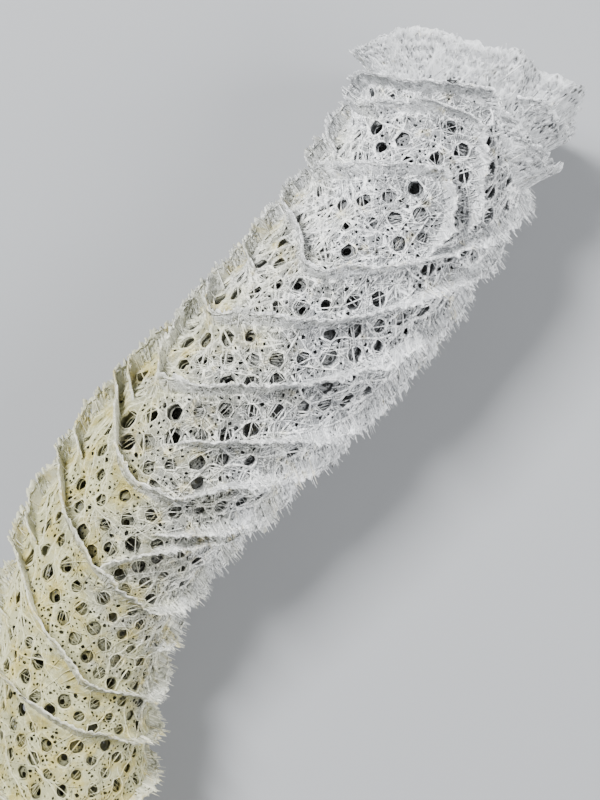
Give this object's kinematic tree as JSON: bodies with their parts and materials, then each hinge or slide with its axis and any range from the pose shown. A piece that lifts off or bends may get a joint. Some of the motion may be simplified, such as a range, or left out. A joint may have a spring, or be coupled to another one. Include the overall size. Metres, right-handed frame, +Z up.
{
  "type": "sea sponge",
  "caption": "Curved hollow sponge skeleton of fused glass fibres, with slanting rows of holes, wandering ledges, a flared cuff and a domed sieve at the top.",
  "frame": {"origin": "on the table, under the middle of the outline seen from above", "axes": "+Z up from the table the sponge lies on, +Y from the root tuft towards the cuff, +X to the right seen from above with the cuff away from the viewer"},
  "size_m": [0.1288, 0.2308, 0.0492],
  "materials": {
    "skeleton": "felt of fused silica fibres, matte white to cream"
  },
  "bodies": {
    "root": {"sponge": "skeleton"}
  },
  "joints": []
}
